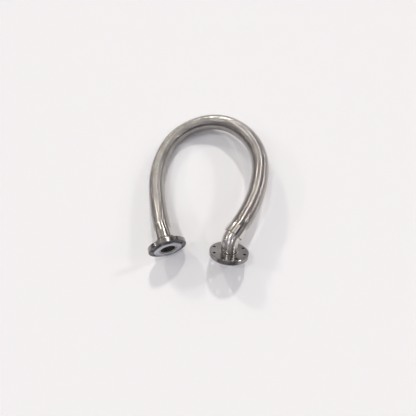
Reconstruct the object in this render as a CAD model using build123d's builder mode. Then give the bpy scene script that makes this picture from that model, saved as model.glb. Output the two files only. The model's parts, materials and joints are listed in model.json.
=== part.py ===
# A flexible vacuum bellows hose with a rotatable knife-edge flange at each end, one of them on an elbow.
# It lies at rest on the plane z = 0, in millimetres, with its origin under the middle of its box.
import os
from math import radians, sqrt, tan

from build123d import *

os.makedirs("parts", exist_ok=True)

# ---- Driving dimensions ----

# Bellows
crest_diameter = 53.0
root_diameter = 44.0
bellows_bore = 43.4
rib_count = 56
crest_share = 0.4  # flat top of a rib, as a share of the pitch

# The loop that the bellows lies in: radius and turn of each tangent arc, from the straight end
loop_bends = [(800, 12), (310, 32), (160, 105), (235, 60.5), (375, 28)]
loop_pitch = -5.76
loop_roll = -4.035

# Neck tubes and elbow
tube_diameter = 48.3
tube_wall = 1.65
straight_neck = 28.9  # collar to hub
elbow_lead = 7.0  # collar to bend
elbow_radius = 46.0
elbow_angle = 45.0
elbow_twist = -156.0  # where the bend points, turned about the hose from the loop's normal
elbow_neck = 20.9  # bend to hub

# Collars and the cuffs inside them
collar_length = 28.0
collar_wall = 1.5
collar_lip = 1.6
collar_edge = 0.6
collar_seam = 1.6
sleeve_clearance = 0.2
tube_entry = 6.0
cuff_length = 4.0

# Hubs
hub_diameter = 82.4
hub_thickness = 9.0
knife_inset = 2.7  # from the hub's rim to the knife edge
knife_height = 1.5
knife_slope = 20.0  # outer side of the edge, from the face
knife_flank = 70.0  # inner side of the edge, from the face
relief_diameter = 54.0
relief_depth = 4.0
hub_seam = 1.5
tube_recess = 2.0
tube_clearance = 0.05

# Bolt rings
ring_diameter = 113.5
ring_thickness = 17.4
ring_edge = 0.8
ring_back_bore = 55.0
running_clearance = 0.1
shoulder_clearance = 0.1
hub_recess = 2.0
bolt_circle = 92.2
bolt_hole_diameter = 8.4
bolt_count = 8
straight_ring_turn = 5.0
straight_ring_setback = 5.3
elbow_ring_turn = 5.0
elbow_ring_setback = 0.0

# ---- Worked out from them ----

crest_radius = crest_diameter / 2
root_radius = root_diameter / 2
bellows_bore_radius = bellows_bore / 2
tube_radius = tube_diameter / 2
tube_bore_radius = tube_radius - tube_wall
tube_seat_radius = tube_radius + tube_clearance
collar_bore_radius = crest_radius + sleeve_clearance
collar_radius = collar_bore_radius + collar_wall
cuff_end = tube_entry + cuff_length
hub_radius = hub_diameter / 2
knife_radius = hub_radius - knife_inset
knife_rise = knife_inset * tan(radians(knife_slope))
knife_foot = knife_radius - knife_height / tan(radians(knife_flank))
hub_floor = knife_rise - knife_height
relief_floor = hub_floor - relief_depth
relief_radius = relief_diameter / 2
ring_radius = ring_diameter / 2
hub_pocket_radius = hub_radius + running_clearance
hub_pocket_depth = hub_recess + hub_thickness + shoulder_clearance

# ---- The centre line, in the loop's own plane ----

# It starts at the closed end of the straight end's collar and ends at the closed end of the other.
with BuildLine() as hose_line:
    stretch = Line((0, 0), (0, collar_length))
    for radius, turn in loop_bends:
        stretch = JernArc(start=stretch @ 1, tangent=stretch % 1, radius=radius, arc_size=-turn)
    Line(stretch @ 1, stretch @ 1 + (stretch % 1) * collar_length)
hose_wire = hose_line.wire()
loop_normal = Vector(0, 0, 1)

# At each collar's closed end a plane looks out of the hose.
straight_end = Plane(origin=hose_wire @ 0, x_dir=loop_normal, z_dir=-(hose_wire % 0))
elbow_end = Plane(origin=hose_wire @ 1, x_dir=loop_normal, z_dir=hose_wire % 1)

# The elbow's tube lies in a plane of its own, with x along the hose and y towards the inside of the bend.
bend_side = elbow_end.x_dir.rotate(Axis((0, 0, 0), elbow_end.z_dir), elbow_twist)
elbow_plane = Plane(origin=elbow_end.origin, x_dir=elbow_end.z_dir, z_dir=elbow_end.z_dir.cross(bend_side))
with BuildLine() as elbow_line:
    lead = Line((-tube_entry, 0), (elbow_lead, 0))
    bend = JernArc(start=lead @ 1, tangent=lead % 1, radius=elbow_radius, arc_size=elbow_angle)
    Line(bend @ 1, bend @ 1 + (bend % 1) * (elbow_neck + hub_thickness - tube_recess))
elbow_wire = elbow_line.wire().moved(elbow_plane.location)

# A port plane lies level with the outer corner of its hub and looks out of the port.
straight_port = straight_end.offset(straight_neck + hub_thickness)
elbow_axis = elbow_wire % 1
elbow_port = Plane(
    origin=elbow_wire @ 1 + elbow_axis * tube_recess,
    x_dir=loop_normal - elbow_axis * loop_normal.dot(elbow_axis),
    z_dir=elbow_axis,
)
straight_ring_front = straight_port.offset(hub_recess - straight_ring_setback)
elbow_ring_front = elbow_port.offset(hub_recess - elbow_ring_setback)


def hose_station(distance):
    """The plane square to the centre line at a distance along it, in the loop's own frame."""
    share = distance / hose_wire.length
    return Plane(origin=hose_wire @ share, x_dir=loop_normal, z_dir=hose_wire % share)


# ---- How the loop lies on the floor ----

tilted = Plane.XY.rotated((loop_pitch, loop_roll, 0))


def outermost_discs():
    """The round sections that can be outermost: the hose at close steps, and the edges of both rings."""
    steps = 400
    discs = [(hose_station(hose_wire.length * step / steps), crest_radius) for step in range(steps + 1)]
    for front in (straight_ring_front, elbow_ring_front):
        discs.append((front, ring_radius - ring_edge))
        discs.append((front.offset(-ring_edge), ring_radius))
        discs.append((front.offset(ring_edge - ring_thickness), ring_radius))
        discs.append((front.offset(-ring_thickness), ring_radius - ring_edge))
    return discs


def reach(discs, direction):
    """How far the discs come in a direction once the loop is tilted."""
    towards = tilted.to_local_coords(Vector(*direction))
    return max(
        plane.origin.dot(towards) + radius * sqrt(max(0, 1 - plane.z_dir.dot(towards) ** 2))
        for plane, radius in discs
    )


discs = outermost_discs()
floor_origin = Vector(
    (reach(discs, (-1, 0, 0)) - reach(discs, (1, 0, 0))) / 2,
    (reach(discs, (0, -1, 0)) - reach(discs, (0, 1, 0))) / 2,
    reach(discs, (0, 0, -1)),
)
loop_plane = Plane(origin=floor_origin, x_dir=tilted.x_dir, z_dir=tilted.z_dir)


def seated(plane):
    """A plane of the loop's own frame, as it lies on the floor."""
    return Plane(loop_plane.location * plane.location)


def save(piece, name):
    """Name a finished piece and write it."""
    piece.part.label = name
    export_step(piece.part, f"parts/{name}.step")
    print(name, round(piece.part.volume), "mm3")


def turned(plane, profile):
    """A turned piece: a closed outline of (radius, height) points, revolved about the plane's z axis."""
    side = Plane(origin=plane.origin, x_dir=plane.x_dir, z_dir=-plane.y_dir)
    with BuildPart() as piece:
        with BuildSketch(side):
            with BuildLine():
                Polyline(*profile, close=True)
            make_face()
        revolve(axis=Axis(plane.origin, plane.z_dir))
    return piece


def seam_outline(corner_radius, height, leg):
    """The section of a weld bead in the corner between a tube and the face that it comes out of."""
    return [(corner_radius, height), (corner_radius + leg, height), (corner_radius, height + leg)]


# ---- Bellows ----

bellows_length = hose_wire.length - 2 * cuff_end
pitch = bellows_length / rib_count
flank = pitch * (1 - crest_share) / 2
bellows_wire = hose_wire.trim(cuff_end / hose_wire.length, 1 - cuff_end / hose_wire.length)

with BuildPart() as bellows:
    with BuildSketch(seated(hose_station(cuff_end))):
        Circle(root_radius)
    for rib in range(rib_count):
        start = cuff_end + rib * pitch
        with BuildSketch(seated(hose_station(start + flank))):
            Circle(crest_radius)
        with BuildSketch(seated(hose_station(start + pitch - flank))):
            Circle(crest_radius)
        with BuildSketch(seated(hose_station(start + pitch))):
            Circle(root_radius)
    loft(ruled=True)
    with BuildSketch(seated(hose_station(cuff_end))):
        Circle(bellows_bore_radius)
    sweep(path=bellows_wire.moved(loop_plane.location), mode=Mode.SUBTRACT)
save(bellows, "bellows")

# ---- Neck tubes ----

tube_length = tube_entry + straight_neck + hub_thickness - tube_recess
with BuildPart() as straight_end_tube:
    with BuildSketch(seated(straight_end.offset(-tube_entry))):
        Circle(tube_radius)
        Circle(tube_bore_radius, mode=Mode.SUBTRACT)
    extrude(amount=tube_length)
save(straight_end_tube, "straight_end_tube")

with BuildPart() as elbow_end_tube:
    with BuildSketch(seated(elbow_end.offset(-tube_entry))):
        Circle(tube_radius)
        Circle(tube_bore_radius, mode=Mode.SUBTRACT)
    sweep(path=elbow_wire.moved(loop_plane.location))
save(elbow_end_tube, "elbow_end_tube")

# ---- Collars, their seams and the cuffs inside ----

collar_outline = [
    (tube_seat_radius, 0),
    (collar_radius - collar_edge, 0),
    (collar_radius, -collar_edge),
    (collar_radius, collar_edge - collar_length),
    (collar_radius - collar_edge, -collar_length),
    (collar_bore_radius, -collar_length),
    (collar_bore_radius, -collar_lip),
    (tube_seat_radius, -collar_lip),
]
cuff_outline = [
    (bellows_bore_radius, -tube_entry),
    (crest_radius, -tube_entry),
    (crest_radius, -cuff_end),
    (bellows_bore_radius, -cuff_end),
]
for end, closed_end in (("straight_end", straight_end), ("elbow_end", elbow_end)):
    save(turned(seated(closed_end), collar_outline), f"{end}_collar")
    save(turned(seated(closed_end), cuff_outline), f"{end}_cuff")
    save(turned(seated(closed_end), seam_outline(tube_radius, 0, collar_seam)), f"{end}_collar_seam")

# ---- Hubs and their seams ----

# The knife edge stands in a shallow face, and a relief round the bore takes the seam to the tube.
hub_outline = [
    (tube_seat_radius, -hub_thickness),
    (hub_radius, -hub_thickness),
    (hub_radius, 0),
    (knife_radius, knife_rise),
    (knife_foot, hub_floor),
    (relief_radius, hub_floor),
    (relief_radius, relief_floor),
    (tube_seat_radius, relief_floor),
]
for end, port in (("straight_end", straight_port), ("elbow_end", elbow_port)):
    save(turned(seated(port), hub_outline), f"{end}_hub")
    save(turned(seated(port), seam_outline(tube_radius, relief_floor, hub_seam)), f"{end}_hub_seam")


# ---- Bolt rings ----

def bolt_ring(front, turn):
    """A rotatable ring: a pocket for the hub at the front, a smaller bore behind it, and a circle of holes."""
    with BuildPart() as ring:
        with BuildSketch(front):
            Circle(ring_radius)
        extrude(amount=-ring_thickness)
        chamfer(ring.edges().filter_by(GeomType.CIRCLE), ring_edge)
        with BuildSketch(front):
            Circle(hub_pocket_radius)
        extrude(amount=-hub_pocket_depth, mode=Mode.SUBTRACT)
        with BuildSketch(front):
            Circle(ring_back_bore / 2)
            with PolarLocations(bolt_circle / 2, bolt_count, start_angle=turn):
                Circle(bolt_hole_diameter / 2)
        extrude(amount=-ring_thickness, mode=Mode.SUBTRACT)
    return ring


save(bolt_ring(seated(straight_ring_front), straight_ring_turn), "straight_end_ring")
save(bolt_ring(seated(elbow_ring_front), elbow_ring_turn), "elbow_end_ring")

print("centre line", round(hose_wire.length, 1), "mm, rib pitch", round(pitch, 2), "mm")
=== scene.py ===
import json
import math

import bpy
import numpy as np
from mathutils import Matrix, Vector


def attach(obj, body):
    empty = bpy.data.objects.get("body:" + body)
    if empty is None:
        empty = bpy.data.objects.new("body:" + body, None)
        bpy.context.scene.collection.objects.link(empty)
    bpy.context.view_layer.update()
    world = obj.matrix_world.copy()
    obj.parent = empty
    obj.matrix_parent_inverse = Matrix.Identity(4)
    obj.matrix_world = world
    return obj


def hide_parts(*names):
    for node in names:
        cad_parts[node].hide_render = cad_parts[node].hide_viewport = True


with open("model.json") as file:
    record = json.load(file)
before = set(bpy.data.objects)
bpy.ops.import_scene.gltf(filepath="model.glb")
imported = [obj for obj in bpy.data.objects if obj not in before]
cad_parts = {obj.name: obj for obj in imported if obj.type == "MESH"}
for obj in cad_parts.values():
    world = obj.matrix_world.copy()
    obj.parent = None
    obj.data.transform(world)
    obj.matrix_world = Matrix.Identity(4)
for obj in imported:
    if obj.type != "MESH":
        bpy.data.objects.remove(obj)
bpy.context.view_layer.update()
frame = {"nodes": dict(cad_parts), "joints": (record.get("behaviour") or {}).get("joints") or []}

joints = {joint["name"]: joint for joint in frame["joints"]}
print("frame loaded:", len(frame["nodes"]), "nodes")


# Where the hose runs: a flat curve of arcs, in a plane that leans a little on the floor.

loop = {
    "collarLength": 0.028,
    "cuffEnd": 0.010,  # from the collar's closed end to the first rib
    "startRun": 0.0033,  # straight between the collar and the first bend
    "endRun": 0.0116,  # straight between the last bend and the other collar
    "neck": 0.0346,  # from the collar's closed end to the port
    "bends": [(0.800, 12), (0.310, 32), (0.160, 105), (0.235, 60.5), (0.375, 28)],  # radius and turn
    "pitchAngle": -5.76,  # how the loop's plane leans on the floor
    "rollAngle": -4.035,
}


def loopAxes():
    # The loop's own x, y and normal, as rows: the world's axes turned about x, then about the new y.
    lean = Matrix.Rotation(math.radians(loop["pitchAngle"]), 3, "X")
    lean = lean @ Matrix.Rotation(math.radians(loop["rollAngle"]), 3, "Y")
    return np.array(lean).T


def centreLine(distances):
    # Straight along y for a collar, then arc after arc turning towards x, then straight for the other
    # collar. On an arc the heading grows evenly, and the place is its radius times the change of cosine
    # and sine.
    place = np.zeros((len(distances), 2))
    heading = np.zeros(len(distances))
    start, at, angle = 0.0, np.zeros(2), 0.0
    stretches = [(None, loop["collarLength"] + loop["startRun"])]
    for radius, turn in loop["bends"]:
        stretches.append((radius, radius * math.radians(turn)))
    stretches.append((None, loop["endRun"] + loop["collarLength"]))
    for radius, length in stretches:
        here = distances >= start
        run = distances[here] - start
        if radius is None:
            heading[here] = angle
            place[here] = at + np.outer(run, [math.sin(angle), math.cos(angle)])
            at = at + length * np.array([math.sin(angle), math.cos(angle)])
        else:
            now = angle + run / radius
            heading[here] = now
            turned = np.stack([math.cos(angle) - np.cos(now), np.sin(now) - math.sin(angle)], 1)
            place[here] = at + radius * turned
            end = angle + length / radius
            at = at + radius * np.array([math.cos(angle) - math.cos(end), math.sin(end) - math.sin(angle)])
            angle = end
        start += length
    across, along, normal = loopAxes()
    mouth = np.array(joints["straight_ring_turn"]["pos_m"])
    mouth = mouth - loop["neck"] * np.array(joints["straight_ring_turn"]["axis"])
    points = mouth + np.outer(place[:, 0], across) + np.outer(place[:, 1], along)
    tangents = np.outer(np.sin(heading), across) + np.outer(np.cos(heading), along)
    return points, tangents, normal


def hoseLength():
    arcs = sum(radius * math.radians(turn) for radius, turn in loop["bends"])
    return arcs + 2 * loop["collarLength"] + loop["startRun"] + loop["endRun"]


# Making a mesh from arrays of points.

meshing = {
    "sharpAngle": 30.0,  # edges that turn more than this stay crisp
    "joinScale": 1e6,  # points that agree to the nearest one over this are one point
}


def closedGrid(rows, columns):
    # The quads of a grid that is joined to itself both ways. The number of a corner is its row times the
    # count of columns, plus its column.
    row, column = np.meshgrid(np.arange(rows), np.arange(columns), indexing="ij")
    nextRow = (row + 1) % rows
    nextColumn = (column + 1) % columns
    corners = [row * columns + column, row * columns + nextColumn]
    corners += [nextRow * columns + nextColumn, nextRow * columns + column]
    return np.stack(corners, -1).reshape(-1, 4)


def makePiece(name, points, quads, material, body, replaced):
    mesh = bpy.data.meshes.new(name)
    mesh.from_pydata(points.reshape(-1, 3), [], quads)
    mesh.polygons.foreach_set("use_smooth", np.ones(len(quads), dtype=bool))
    mesh.materials.append(material)
    mesh.update()
    piece = bpy.data.objects.new(name, mesh)
    bpy.context.scene.collection.objects.link(piece)
    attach(piece, body)
    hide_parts(*replaced)
    print("made", name, "with", quads.shape[0] * (quads.shape[1] - 2), "triangles")
    return mesh


def moveCopy(node, name, material, body, offsets):
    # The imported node's own shape with each point moved by its offset. Points that agree to the nearest
    # micrometre become one, so the loose triangles join into a closed skin.
    mesh = frame["nodes"][node].data
    corners = np.zeros(len(mesh.loops), dtype=np.int32)
    mesh.loops.foreach_get("vertex_index", corners)
    moved = nodePoints(node) + offsets
    places = np.round(moved * meshing["joinScale"])
    first, joined = np.unique(places, axis=0, return_index=True, return_inverse=True)[1:]
    triangles = joined.ravel()[corners].reshape(-1, 3)
    whole = (triangles != np.roll(triangles, 1, axis=1)).all(axis=1)
    sharpen(makePiece(name, moved[first], triangles[whole], material, body, [node]))


def sharpen(mesh):
    mesh.polygons.foreach_set("use_smooth", np.ones(len(mesh.polygons), dtype=bool))
    mesh.set_sharp_from_angle(angle=math.radians(meshing["sharpAngle"]))


def nodePoints(name):
    mesh = frame["nodes"][name].data
    points = np.zeros(len(mesh.vertices) * 3)
    mesh.vertices.foreach_get("co", points)
    return points.reshape(-1, 3)


# Steel, and the grain on it. A noise lies mostly between its low and high value.

grain = {
    "noiseLow": 0.3,
    "noiseHigh": 0.7,
    "acrossGrain": 0.25,  # of a turn, from along the grain to across it
    "ringDetail": 3.0,
    "turnedDetail": 4.0,
    "rolledDetail": 5.0,
    "speckleDetail": 2.0,
}


def newSteel(name, look):
    # A bare metal. Its own colour, roughness and anisotropy stand on the shader's sockets, and patterns
    # are linked over them.
    material = bpy.data.materials.new(name)
    material.use_nodes = True
    shader = material.node_tree.nodes["Principled BSDF"]
    shader.inputs["Metallic"].default_value = 1.0
    shader.inputs["Base Color"].default_value = (*look["color"], 1.0)
    shader.inputs["Roughness"].default_value = look["roughness"]
    shader.inputs["Anisotropic"].default_value = look.get("anisotropy", 0.0)
    shader.inputs["Anisotropic Rotation"].default_value = grain["acrossGrain"]
    return material, shader


def addNode(material, kind, inputs=None, output=0, **settings):
    # One node, with its settings, and its inputs either linked from another node or given a number.
    node = material.node_tree.nodes.new("ShaderNode" + kind)
    for key, value in settings.items():
        setattr(node, key, value)
    for key, value in (inputs or {}).items():
        if isinstance(value, bpy.types.NodeSocket):
            material.node_tree.links.new(value, node.inputs[key])
        else:
            node.inputs[key].default_value = value
    return node.outputs[output]


def objectPlace(material):
    return addNode(material, "TexCoord", output="Object")


def addNoise(material, place, scale, detail):
    return addNode(material, "TexNoise", {"Vector": place, "Scale": scale, "Detail": detail})


def remap(material, value, low, high):
    # A noise value between its usual low and high becomes one from low to high.
    limits = {"From Min": grain["noiseLow"], "From Max": grain["noiseHigh"], "To Min": low, "To Max": high}
    return addNode(material, "MapRange", {**limits, "Value": value})


def mixColors(material, share, first, second):
    return addNode(material, "Mix", {0: share, 6: first, 7: second}, output=2, data_type="RGBA")


def tint(material, value, dark, light):
    # A colour between dark and light, by a noise value.
    return mixColors(material, remap(material, value, 0.0, 1.0), (*dark, 1.0), (*light, 1.0))


def linkTo(material, shader, socket, value):
    material.node_tree.links.new(value, shader.inputs[socket])


def addBump(material, shader, height, strength, depth):
    bump = addNode(material, "Bump", {"Height": height, "Strength": strength, "Distance": depth})
    linkTo(material, shader, "Normal", bump)


def fromPoint(material, origin):
    where = {0: objectPlace(material), 1: tuple(origin)}
    return addNode(material, "VectorMath", where, operation="SUBTRACT")


def axisPlace(material, origin, axis):
    # Where a point is from a turning axis: a frame with its z along the axis and its middle on it.
    turn = Vector(axis).to_track_quat("Z", "Y").to_matrix().transposed()
    turned = {"Vector": fromPoint(material, origin), "Rotation": tuple(turn.to_euler())}
    return addNode(material, "Mapping", turned)


def turnedSteel(name, look, origin, axis, front=None):
    # Fine rings left by a lathe: noise that changes with the distance from the axis and the height along
    # it, and not at all round it.
    material, shader = newSteel(name, look)
    place = axisPlace(material, origin, axis)
    across = addNode(material, "SeparateXYZ", {0: place}).node.outputs
    flat = addNode(material, "CombineXYZ", {0: across[0], 1: across[1], 2: 0.0})
    radius = addNode(material, "VectorMath", {0: flat}, output=1, operation="LENGTH")
    lathe = addNode(material, "CombineXYZ", {0: radius, 1: across[2], 2: 0.0})
    rings = addNoise(material, lathe, look["ringScale"], grain["ringDetail"])
    patches = addNoise(material, place, look["patchScale"], grain["turnedDetail"])
    linkTo(material, shader, "Roughness", remap(material, patches, *look["roughnessRange"]))
    addBump(material, shader, rings, look["ringStrength"], look["ringDepth"])
    spoke = fromPoint(material, origin)
    color = tint(material, patches, look["darkColor"], look["color"])
    if front is not None:
        # The front face is where a point is as high along the axis as that face. It gets a darker colour:
        # painted shade, for the shaded floor that this face mirrors.
        alongAxis = {0: spoke, 1: tuple(axis)}
        height = addNode(material, "VectorMath", alongAxis, output=1, operation="DOT_PRODUCT")
        faceStart = {0: height, 1: front - look["faceDepth"]}
        onFace = addNode(material, "Math", faceStart, operation="GREATER_THAN")
        shadedFace = tint(material, patches, look["faceShadeDarkColor"], look["faceShadeColor"])
        color = mixColors(material, onFace, color, shadedFace)
    linkTo(material, shader, "Base Color", color)
    # The grain runs round the axis, so a reflection is drawn out along a face's radius or a tube's length.
    around = addNode(material, "VectorMath", {0: tuple(axis), 1: spoke}, operation="CROSS_PRODUCT")
    around = addNode(material, "VectorMath", {0: around}, operation="NORMALIZE")
    linkTo(material, shader, "Tangent", around)
    return material


def rolledSteel(name, look, grainName=None):
    # Smooth drawn sheet or pipe: large soft patches of cleaner and duller metal, and a faint speckle.
    # A piece that holds the direction of its grain as an attribute gives that attribute's name.
    material, shader = newSteel(name, look)
    place = objectPlace(material)
    patches = addNoise(material, place, look["patchScale"], grain["rolledDetail"])
    speckle = addNoise(material, place, look["speckleScale"], grain["speckleDetail"])
    linkTo(material, shader, "Roughness", remap(material, patches, *look["roughnessRange"]))
    linkTo(material, shader, "Base Color", tint(material, patches, look["darkColor"], look["color"]))
    addBump(material, shader, speckle, look["speckleStrength"], look["speckleDepth"])
    if grainName:
        around = addNode(material, "Attribute", output="Vector", attribute_name=grainName)
        linkTo(material, shader, "Tangent", around)
    return material


# The bellows: a ribbed wall round the centre line.

bellows = {
    "ribs": 250,
    "crestRadius": 0.0265,
    "rootRadius": 0.0220,
    "innerCrestRadius": 0.0249,
    "innerRootRadius": 0.0215,
    "ribPlaces": (0.0, 0.07, 0.14, 0.18, 0.24, 0.76, 0.82, 0.86, 0.93),  # along one pitch, root to root
    "ribHeights": (0.0, 0.0, 0.80, 0.96, 1.0, 1.0, 0.96, 0.80, 0.0),
    "innerSteps": 2,  # along each rib of the inner wall
    "around": 36,
    "color": (0.60, 0.58, 0.55),
    "darkColor": (0.47, 0.45, 0.43),
    # painted shade: the dark colour of the rib roots, standing in for the shade in the grooves
    "rootShadeColor": (0.16, 0.14, 0.13),
    "roughness": 0.12,
    "roughnessRange": (0.09, 0.15),
    "patchScale": 26.0,
    "shadeFadeHeight": 0.7,  # how far up a rib the painted root shade gives way to the crest's colour
}


def bellowsSection():
    # One lap of the wall's section: places along the hose, radii, and how far up its rib each point is.
    # Outside, the same rib is repeated pitch by pitch. Inside, a cosine wave goes back to the start.
    start, end = loop["cuffEnd"], hoseLength() - loop["cuffEnd"]
    ribs = np.arange(bellows["ribs"])
    turns = np.append((ribs[:, None] + np.array(bellows["ribPlaces"])).ravel(), bellows["ribs"])
    rise = np.append(np.tile(bellows["ribHeights"], bellows["ribs"]), 0.0)
    outerRadius = bellows["rootRadius"] + rise * (bellows["crestRadius"] - bellows["rootRadius"])
    back = np.arange(bellows["ribs"] * bellows["innerSteps"], -1, -1) / bellows["innerSteps"]
    innerRise = (1 - np.cos(2 * np.pi * back)) / 2
    innerDepth = bellows["innerCrestRadius"] - bellows["innerRootRadius"]
    innerRadius = bellows["innerRootRadius"] + innerRise * innerDepth
    along = np.concatenate([turns, back]) / bellows["ribs"] * (end - start) + start
    return along, np.concatenate([outerRadius, innerRadius]), np.concatenate([rise, innerRise])


def makeBellows():
    # A circle of each section point's radius, square to the centre line at that point.
    along, radius, rise = bellowsSection()
    centres, tangents, normal = centreLine(along)
    sides = np.cross(tangents, normal)
    angle = np.arange(bellows["around"]) * 2 * np.pi / bellows["around"]
    spokes = sides[:, None] * np.cos(angle)[None, :, None] + normal * np.sin(angle)[None, :, None]
    points = centres[:, None] + radius[:, None, None] * spokes
    quads = closedGrid(len(along), bellows["around"])[:, ::-1]
    steel = paintedRootShadeSteel(bellows)
    wall = makePiece("bellowsWall", points, quads, steel, "hose", ["bellows"])
    heights = wall.attributes.new("rise", "FLOAT", "POINT")
    heights.data.foreach_set("value", np.repeat(rise, bellows["around"]))


def paintedRootShadeSteel(look):
    # The colour goes from a painted shade in the roots, for the shade that falls in the deep grooves, to
    # bright on the crests. Soft patches vary the crests' colour, and the roughness everywhere.
    material, shader = newSteel("paintedRootShadeSteel", look)
    patches = addNoise(material, objectPlace(material), look["patchScale"], grain["rolledDetail"])
    crest = tint(material, patches, look["darkColor"], look["color"])
    rise = addNode(material, "Attribute", output="Fac", attribute_name="rise")
    # painted shade that fades from the roots up to the crests
    rootShadeFade = addNode(material, "MapRange", {"Value": rise, "From Min": 0.0, "From Max": look["shadeFadeHeight"]})
    color = mixColors(material, rootShadeFade, (*look["rootShadeColor"], 1.0), crest)
    linkTo(material, shader, "Base Color", color)
    linkTo(material, shader, "Roughness", remap(material, patches, *look["roughnessRange"]))
    return material


makeBellows()


# The weld beads, in the corners between tube and collar and between tube and hub.

weld = {
    "ripples": 46,
    "rippleShare": 0.16,  # how much smaller the bead is just before the next ripple
    "ripplePower": 2,
    "rippleLag": 0.5,  # of a ripple, from the section's middle to either edge
    "around": 368,
    "sectionSteps": 9,
    "bulge": 0.75,  # 1 is a round section, and less is a fuller one
    "color": (0.52, 0.49, 0.45),
    "darkColor": (0.34, 0.29, 0.24),
    "roughness": 0.32,
    "roughnessRange": (0.22, 0.42),
    "patchScale": 160.0,
    "speckleScale": 2500.0,
    "speckleStrength": 0.3,
    "speckleDepth": 0.00005,
}


def makeBead(node, origin, axis, material, shift=0.0):
    # A quarter-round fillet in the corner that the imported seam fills, carried round the axis. Its size
    # swells and falls as a saw-tooth round the seam, later at the tube than at the face, as laid
    # ripples do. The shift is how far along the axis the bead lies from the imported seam.
    axis = np.array(axis) / np.linalg.norm(axis)
    packed = nodePoints(node) - np.array(origin)
    height = packed @ axis
    radius = np.linalg.norm(packed - np.outer(height, axis), axis=1)
    cornerRadius, cornerHeight, leg = radius.min(), height.min(), np.ptp(height)
    angle = np.arange(weld["around"]) * 2 * np.pi / weld["around"]
    sweep = np.linspace(0, np.pi / 2, weld["sectionSteps"])
    lag = weld["rippleLag"] * np.cos(2 * sweep)
    ripple = (angle[:, None] * weld["ripples"] / (2 * np.pi) + lag) % 1.0
    size = leg * (1 - weld["rippleShare"] * ripple ** weld["ripplePower"])
    outX = size * np.cos(sweep) ** weld["bulge"]
    outY = size * np.sin(sweep) ** weld["bulge"]
    outX = np.concatenate([outX, np.zeros((len(angle), 1))], 1)
    outY = np.concatenate([outY, np.zeros((len(angle), 1))], 1)
    first = np.cross(axis, [0.0, 0.0, 1.0])
    first = first / np.linalg.norm(first)
    second = np.cross(axis, first)
    spokes = np.cos(angle)[:, None] * first + np.sin(angle)[:, None] * second
    points = np.array(origin) + (cornerRadius + outX)[:, :, None] * spokes[:, None]
    points = points + (cornerHeight + shift + outY)[:, :, None] * axis
    quads = closedGrid(len(angle), weld["sectionSteps"] + 1)
    makePiece(node + "_bead", points, quads, material, "hose", [node])


beadSteel = rolledSteel("beadSteel", weld)
lineEnds, endHeadings = centreLine(np.array([0.0, hoseLength()]))[:2]
startAxis, endAxis = -endHeadings[0], endHeadings[1]
startShift, endShift = startAxis * loop["startRun"], endAxis * loop["endRun"]
makeBead("straight_end_collar_seam", lineEnds[0] - startShift, startAxis, beadSteel, loop["startRun"])
makeBead("elbow_end_collar_seam", lineEnds[1] - endShift, endAxis, beadSteel, loop["endRun"])
for end, joint in (("straight_end", "straight_ring_turn"), ("elbow_end", "elbow_ring_turn")):
    makeBead(end + "_hub_seam", joints[joint]["pos_m"], joints[joint]["axis"], beadSteel)


# Flanges, tubes and collars.

ring = {
    "thinner": 0.0042,  # how far the back face comes forward
    "faceShadeColor": (0.13, 0.125, 0.125),  # painted shade on the face that looks out of the port
    "faceShadeDarkColor": (0.085, 0.08, 0.085),
    "faceDepth": 0.0004,
    "backDepth": 0.0010,  # the back face and its chamfer lie within this of the back
    "color": (0.34, 0.33, 0.32),
    "darkColor": (0.25, 0.24, 0.24),
    "roughness": 0.24,
    "roughnessRange": (0.18, 0.30),
    "anisotropy": 0.5,
    "ringScale": 1400.0,
    "patchScale": 30.0,
    "ringStrength": 0.25,
    "ringDepth": 0.00008,
}
hub = {
    # The blue cast in these colours is partly the steel's own tone and partly a painted reflection of
    # bluish surroundings.
    "color": (0.60, 0.61, 0.66),
    "darkColor": (0.50, 0.51, 0.55),
    "roughness": 0.34,
    "roughnessRange": (0.28, 0.40),
    "anisotropy": 0.5,
    "ringScale": 2200.0,
    "patchScale": 45.0,
    "ringStrength": 0.15,
    "ringDepth": 0.00005,
}
tube = {
    "color": (0.70, 0.68, 0.65),
    "darkColor": (0.60, 0.57, 0.54),
    "roughness": 0.24,
    "roughnessRange": (0.20, 0.28),
    "anisotropy": 0.7,
    "ringScale": 1800.0,
    "ringStrength": 0.04,
    "ringDepth": 0.00003,
    "patchScale": 40.0,
    "speckleScale": 500.0,
    "speckleStrength": 0.08,
    "speckleDepth": 0.0001,
}
collar = {
    "color": (0.72, 0.70, 0.67),
    "darkColor": (0.62, 0.60, 0.57),
    "roughness": 0.12,
    "roughnessRange": (0.09, 0.16),
    "anisotropy": 0.8,
    "patchScale": 60.0,
    "ringScale": 1800.0,
    "ringStrength": 0.04,
    "ringDepth": 0.00003,
}
elbow = {
    "radius": 0.030,
    "outside": 0.02415,
    "inside": 0.0225,
    "entry": 0.006,  # how far the tube goes into the collar
    "seat": 0.002,  # how far short of the port it ends
    "arcSteps": 28,
    "around": 96,
}


def dress(node, material):
    mesh = frame["nodes"][node].data
    mesh.materials.clear()
    mesh.materials.append(material)


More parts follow.
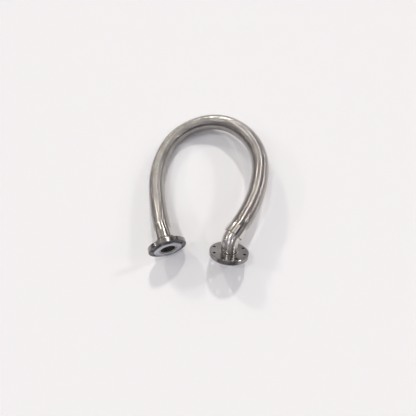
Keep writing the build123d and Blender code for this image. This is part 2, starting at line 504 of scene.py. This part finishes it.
def makeElbow(closedEnd, heading, port, axis, material):
    # The hose's line and the port's axis meet at a corner, and an arc that touches both rounds it off.
    # The tube is a circle square to that path at each station: the outside there, and the inside back.
    side = axis - heading * (axis @ heading)
    side = side / np.linalg.norm(side)
    bend = math.acos(axis @ heading)
    toCorner = (port - closedEnd) @ heading - (port - closedEnd) @ side / math.tan(bend)
    lead = toCorner - elbow["radius"] * math.tan(bend / 2)
    turn = np.linspace(0, bend, elbow["arcSteps"])
    arc = closedEnd + lead * heading + elbow["radius"] * (
        np.outer(np.sin(turn), heading) + np.outer(1 - np.cos(turn), side))
    first, last = closedEnd - elbow["entry"] * heading, port - elbow["seat"] * axis
    path = np.vstack([first, arc, last])
    turn = np.concatenate([[0.0], turn, [bend]])
    out = np.outer(np.sin(turn), -heading) + np.outer(np.cos(turn), side)
    lap = np.vstack([path, path[::-1]])
    out = np.vstack([out, out[::-1]])
    radius = np.repeat([elbow["outside"], elbow["inside"]], len(path))
    angle = np.arange(elbow["around"]) * 2 * np.pi / elbow["around"]
    spokes = out[:, None] * np.cos(angle)[None, :, None]
    spokes = spokes + np.cross(heading, side) * np.sin(angle)[None, :, None]
    points = lap[:, None] + radius[:, None, None] * spokes
    quads = closedGrid(len(lap), elbow["around"])[:, ::-1]
    bent = makePiece("elbowTube", points, quads, material, "hose", ["elbow_end_tube"])
    sharpen(bent)
    # The grain runs round the tube: the way that the circle's points go as the angle grows.
    along = np.cross(heading, side) * np.cos(angle)[None, :, None]
    along = along - out[:, None] * np.sin(angle)[None, :, None]
    directions = bent.attributes.new("grain", "FLOAT_VECTOR", "POINT")
    directions.data.foreach_set("vector", along.ravel())


def thinRing(node, joint, material, body):
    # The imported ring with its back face, chamfer and all, brought forward along the axis.
    axis = np.array(joints[joint]["axis"])
    height = nodePoints(node) @ axis
    atBack = height < height.min() + ring["backDepth"]
    moveCopy(node, body + "_plate", material, body, np.outer(atBack * ring["thinner"], axis))


dress("straight_end_tube", turnedSteel("tubeSteel", tube, lineEnds[0], startAxis))
elbowPort = np.array(joints["elbow_ring_turn"]["pos_m"])
elbowAxis = np.array(joints["elbow_ring_turn"]["axis"])
makeElbow(lineEnds[1], endAxis, elbowPort, elbowAxis, rolledSteel("elbowSteel", tube, "grain"))
for end, joint, closedEnd, hoseAxis, shift in (
    ("straight_end", "straight_ring_turn", lineEnds[0], startAxis, startShift),
    ("elbow_end", "elbow_ring_turn", lineEnds[1], endAxis, endShift),
):
    at, axis = joints[joint]["pos_m"], joints[joint]["axis"]
    cuffSteel = turnedSteel(end + "CuffSteel", tube, closedEnd, hoseAxis)
    collarSteel = turnedSteel(end + "CollarSteel", collar, closedEnd, hoseAxis)
    moveCopy(end + "_cuff", end + "_cuff_ring", cuffSteel, "hose", shift)
    moveCopy(end + "_collar", end + "_collar_sleeve", collarSteel, "hose", shift)
    dress(end + "_hub", turnedSteel(end + "HubSteel", hub, at, axis))
    front = ((nodePoints(end + "_ring") - np.array(at)) @ np.array(axis)).max()
    ringSteel = turnedSteel(end + "RingSteel", ring, at, axis, front)
    thinRing(end + "_ring", joint, ringSteel, joint.replace("_turn", ""))
print("nodes dressed")


# Floor, lamps, room and camera.

studio = {
    "floorSize": 12.0,
    "floorColor": (0.965, 0.97, 0.99),
    "floorRoughness": 0.9,
    "floorShine": 0.1,
    "lamps": {  # where each shines from, its strength, its width in degrees and its colour
        "keyLamp": ((0.45, 0.62, 0.75), 0.95, 5.0, (1.0, 0.96, 0.90)),
        "backLamp": ((-0.15, 0.80, 0.55), 0.48, 5.0, (1.0, 0.95, 0.88)),
        "sideLamp": ((0.85, 0.05, 0.50), 0.50, 5.0, (1.0, 0.97, 0.94)),
        "topLamp": ((-0.30, 0.10, 1.00), 0.30, 4.0, (0.92, 0.94, 1.0)),
        "farLamp": ((-0.75, 0.35, 0.55), 0.20, 3.0, (1.0, 0.93, 0.90)),
        "lowLamp": ((0.90, -0.35, 0.45), 0.18, 3.0, (1.0, 0.96, 0.90)),
        "frontLamp": ((0.15, -0.65, 0.75), 0.18, 3.0, (0.85, 0.88, 1.0)),
        "cornerLamp": ((-0.60, -0.50, 0.80), 0.16, 3.0, (0.88, 0.88, 1.0)),
    },
    "lightSide": (0.45, 0.75, 0.48),
    "roomMiddle": 0.5,  # the place on the ramp of colours that the room lies round
    "sideShare": 0.13,  # how much lighter the room is towards that side
    "bandShare": 2.5,  # how much the bands change it
    "bandScale": (0.8, 0.8, 9.0),  # slow round the room, quick from floor to ceiling
    "bandDetail": 2.0,
    "bandRoughness": 0.4,
    "roomStrength": 1.0,
    "roomColors": [  # places on the ramp, where dark and light take turns
        (0.0, (0.012, 0.010, 0.02)),
        (0.28, (0.04, 0.035, 0.05)),
        (0.38, (0.24, 0.25, 0.46)),
        (0.43, (0.05, 0.045, 0.06)),
        (0.49, (0.42, 0.39, 0.36)),
        (0.53, (0.07, 0.065, 0.07)),
        (0.59, (0.62, 0.58, 0.52)),
        (0.64, (0.14, 0.13, 0.13)),
        (0.71, (0.58, 0.54, 0.49)),
        (0.77, (0.20, 0.19, 0.18)),
        (0.86, (1.0, 0.94, 0.84)),
    ],
}


def makeFloor():
    half = studio["floorSize"] / 2
    corners = [(-half, -half, 0), (half, -half, 0), (half, half, 0), (-half, half, 0)]
    mesh = bpy.data.meshes.new("floor")
    mesh.from_pydata(corners, [], [(0, 1, 2, 3)])
    floor = bpy.data.objects.new("floor", mesh)
    bpy.context.scene.collection.objects.link(floor)
    material = bpy.data.materials.new("paleFloor")
    material.use_nodes = True
    shader = material.node_tree.nodes["Principled BSDF"]
    shader.inputs["Base Color"].default_value = (*studio["floorColor"], 1.0)
    shader.inputs["Roughness"].default_value = studio["floorRoughness"]
    shader.inputs["Specular IOR Level"].default_value = studio["floorShine"]
    mesh.materials.append(material)


def makeLamps():
    for name, (side, strength, width, color) in studio["lamps"].items():
        data = bpy.data.lights.new(name, "SUN")
        data.energy = strength
        data.angle = math.radians(width)
        data.color = color
        lamp = bpy.data.objects.new(name, data)
        bpy.context.scene.collection.objects.link(lamp)
        lamp.rotation_euler = Vector(side).to_track_quat("Z", "Y").to_euler()


def makeRoom():
    # How light the room is in a direction: how far that lies towards the light side, plus a noise
    # that is drawn out level, so that it lies in bands round the room for the steel to mirror.
    room = bpy.data.worlds.new("room")
    bpy.context.scene.world = room
    room.use_nodes = True
    direction = addNode(room, "TexCoord", output="Generated")
    banded = addNode(room, "Mapping", {"Vector": direction, "Scale": studio["bandScale"]})
    noise = addNoise(room, banded, 1.0, studio["bandDetail"])
    noise.node.inputs["Roughness"].default_value = studio["bandRoughness"]
    facing = {0: direction, 1: studio["lightSide"]}
    towards = addNode(room, "VectorMath", facing, output=1, operation="DOT_PRODUCT")
    side = {0: towards, 1: studio["sideShare"], 2: studio["roomMiddle"] - studio["bandShare"] / 2}
    share = {0: noise, 1: studio["bandShare"], 2: addNode(room, "Math", side, operation="MULTIPLY_ADD")}
    colors = addNode(room, "ValToRGB", {"Fac": addNode(room, "Math", share, operation="MULTIPLY_ADD")})
    stops = colors.node.color_ramp.elements
    stops[0].color = (*studio["roomColors"][0][1], 1.0)
    stops[1].position, stops[1].color = studio["roomColors"][-1][0], (*studio["roomColors"][-1][1], 1.0)
    for position, color in studio["roomColors"][1:-1]:
        stops.new(position).color = (*color, 1.0)
    background = room.node_tree.nodes["Background"]
    room.node_tree.links.new(colors, background.inputs["Color"])
    background.inputs["Strength"].default_value = studio["roomStrength"]


makeFloor()
makeRoom()
makeLamps()
print("studio lit")

view = {
    "aim": (-0.0185, -0.070, 0.0),
    "distance": 0.690,
    "azimuth": 1.95,  # how far the line of sight is turned clockwise from the y axis
    "elevation": 68.4,  # how steeply it looks down
    "roll": 19.95,
    "sensor": 36.0,
    "lens": 17.31,
    "clipStart": 0.01,
}


def makeCamera():
    # The camera looks down at the aim point, and is rolled about its own line of sight.
    turn, rise = math.radians(view["azimuth"]), math.radians(view["elevation"])
    sight = Vector((math.sin(turn) * math.cos(rise), math.cos(turn) * math.cos(rise), -math.sin(rise)))
    data = bpy.data.cameras.new("camera")
    data.sensor_width = view["sensor"]
    data.lens = view["lens"]
    data.clip_start = view["clipStart"]
    camera = bpy.data.objects.new("camera", data)
    bpy.context.scene.collection.objects.link(camera)
    camera.location = Vector(view["aim"]) - view["distance"] * sight
    level = sight.to_track_quat("-Z", "Y").to_matrix()
    camera.rotation_euler = (level @ Matrix.Rotation(math.radians(-view["roll"]), 3, "Z")).to_euler()
    bpy.context.scene.camera = camera


makeCamera()
bpy.context.scene.view_settings.view_transform = "Standard"
